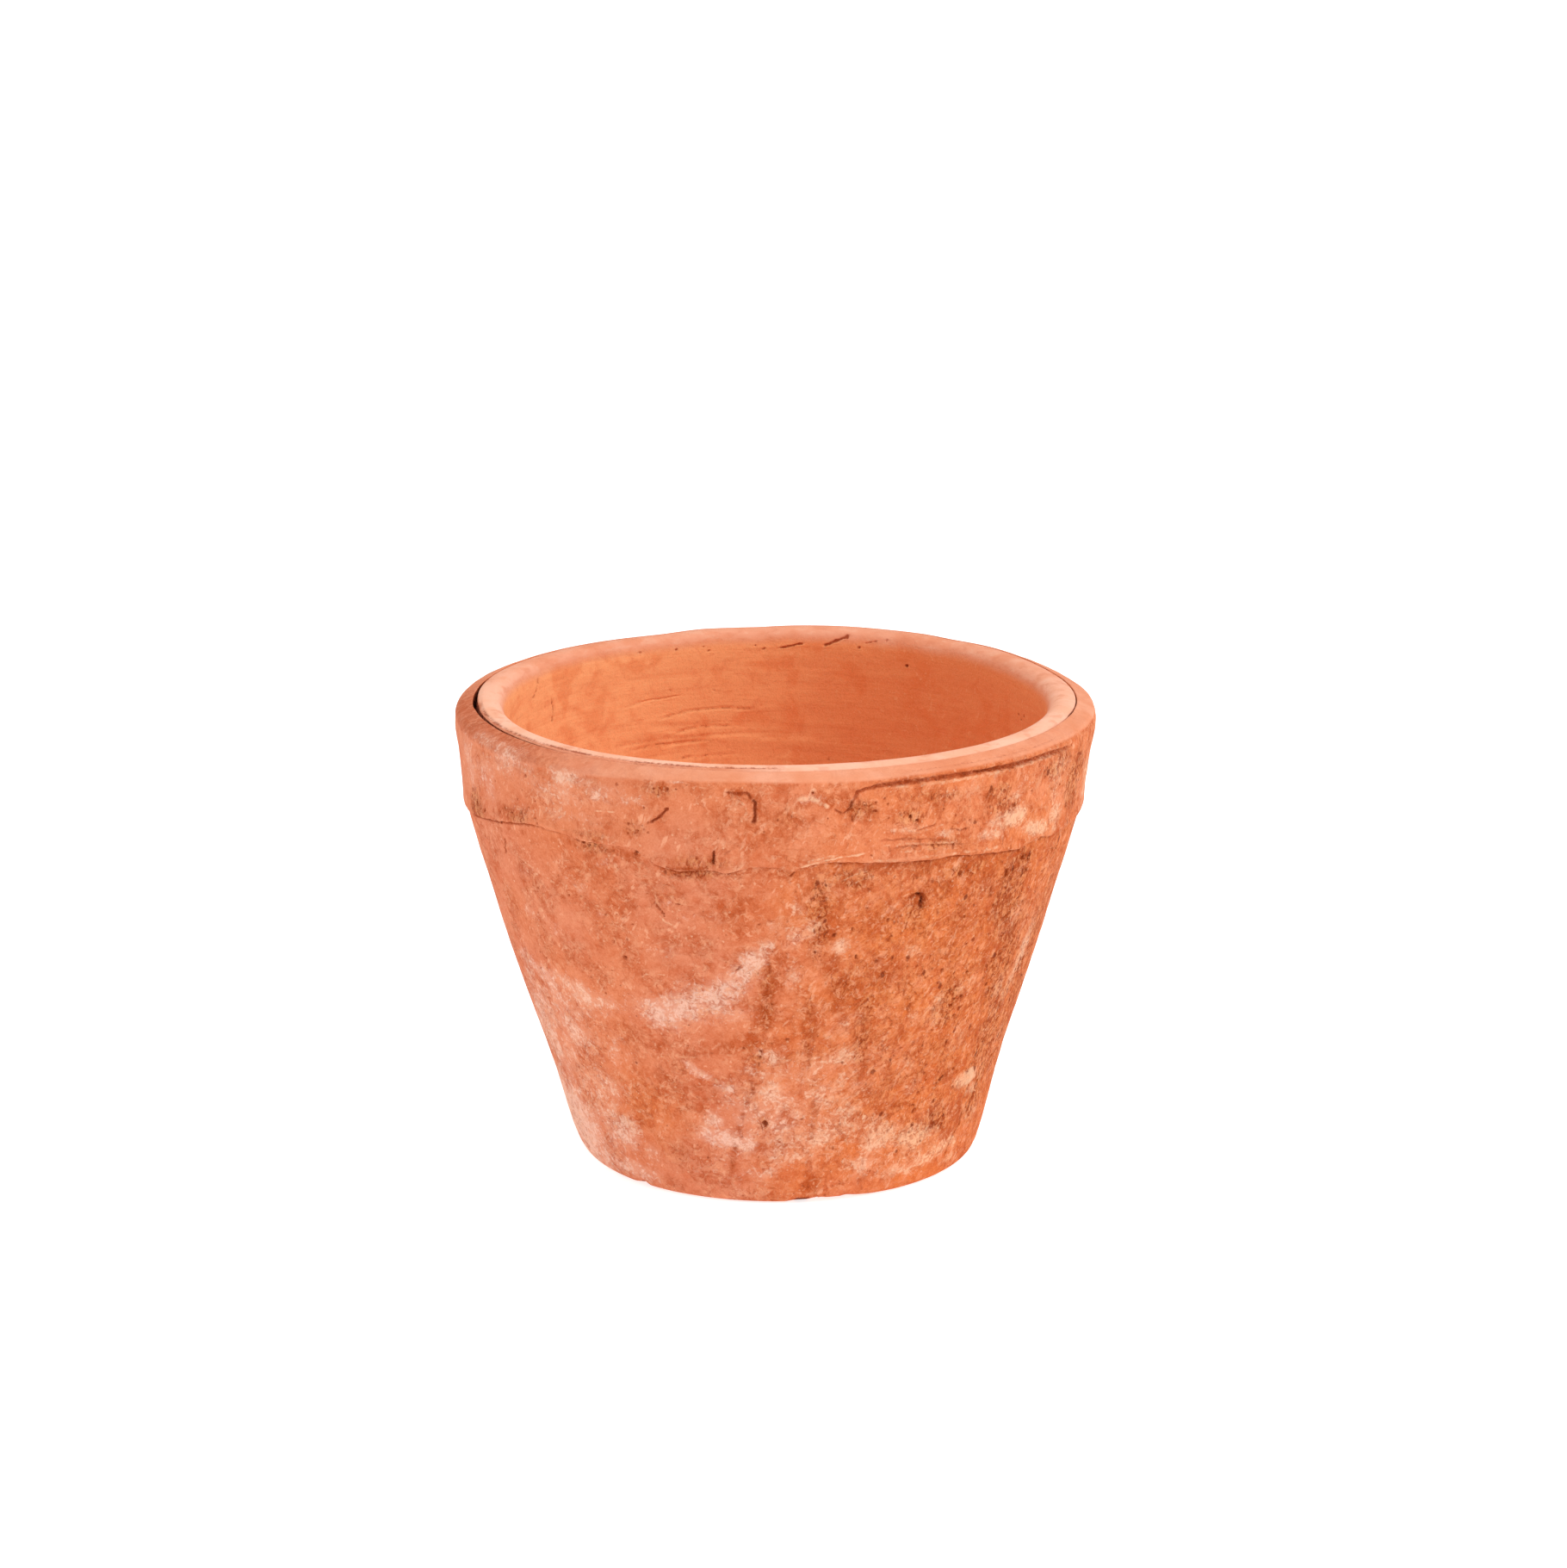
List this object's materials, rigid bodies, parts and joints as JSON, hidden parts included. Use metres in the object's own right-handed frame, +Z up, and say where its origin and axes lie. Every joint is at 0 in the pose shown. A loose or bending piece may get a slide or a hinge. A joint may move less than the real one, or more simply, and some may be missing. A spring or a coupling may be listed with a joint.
{
  "type": "terracotta flower pot",
  "caption": "Tapered hand-thrown terracotta flower pot with an applied band round the rim, open at the top, with a drainage hole in its flat base.",
  "frame": {"origin": "centre of the flat underside, on the surface the pot stands on", "axes": "+Z up along the pot's own axis; -Y is the side that faces the viewer"},
  "size_m": [0.2, 0.2, 0.147],
  "materials": {
    "fired_clay": "unglazed, weathered, with pale lime bloom",
    "fired_clay_band": "unglazed, weathered, hand-smoothed"
  },
  "bodies": {
    "root": {"pot_body": "fired_clay", "rim_band": "fired_clay_band"}
  },
  "joints": []
}
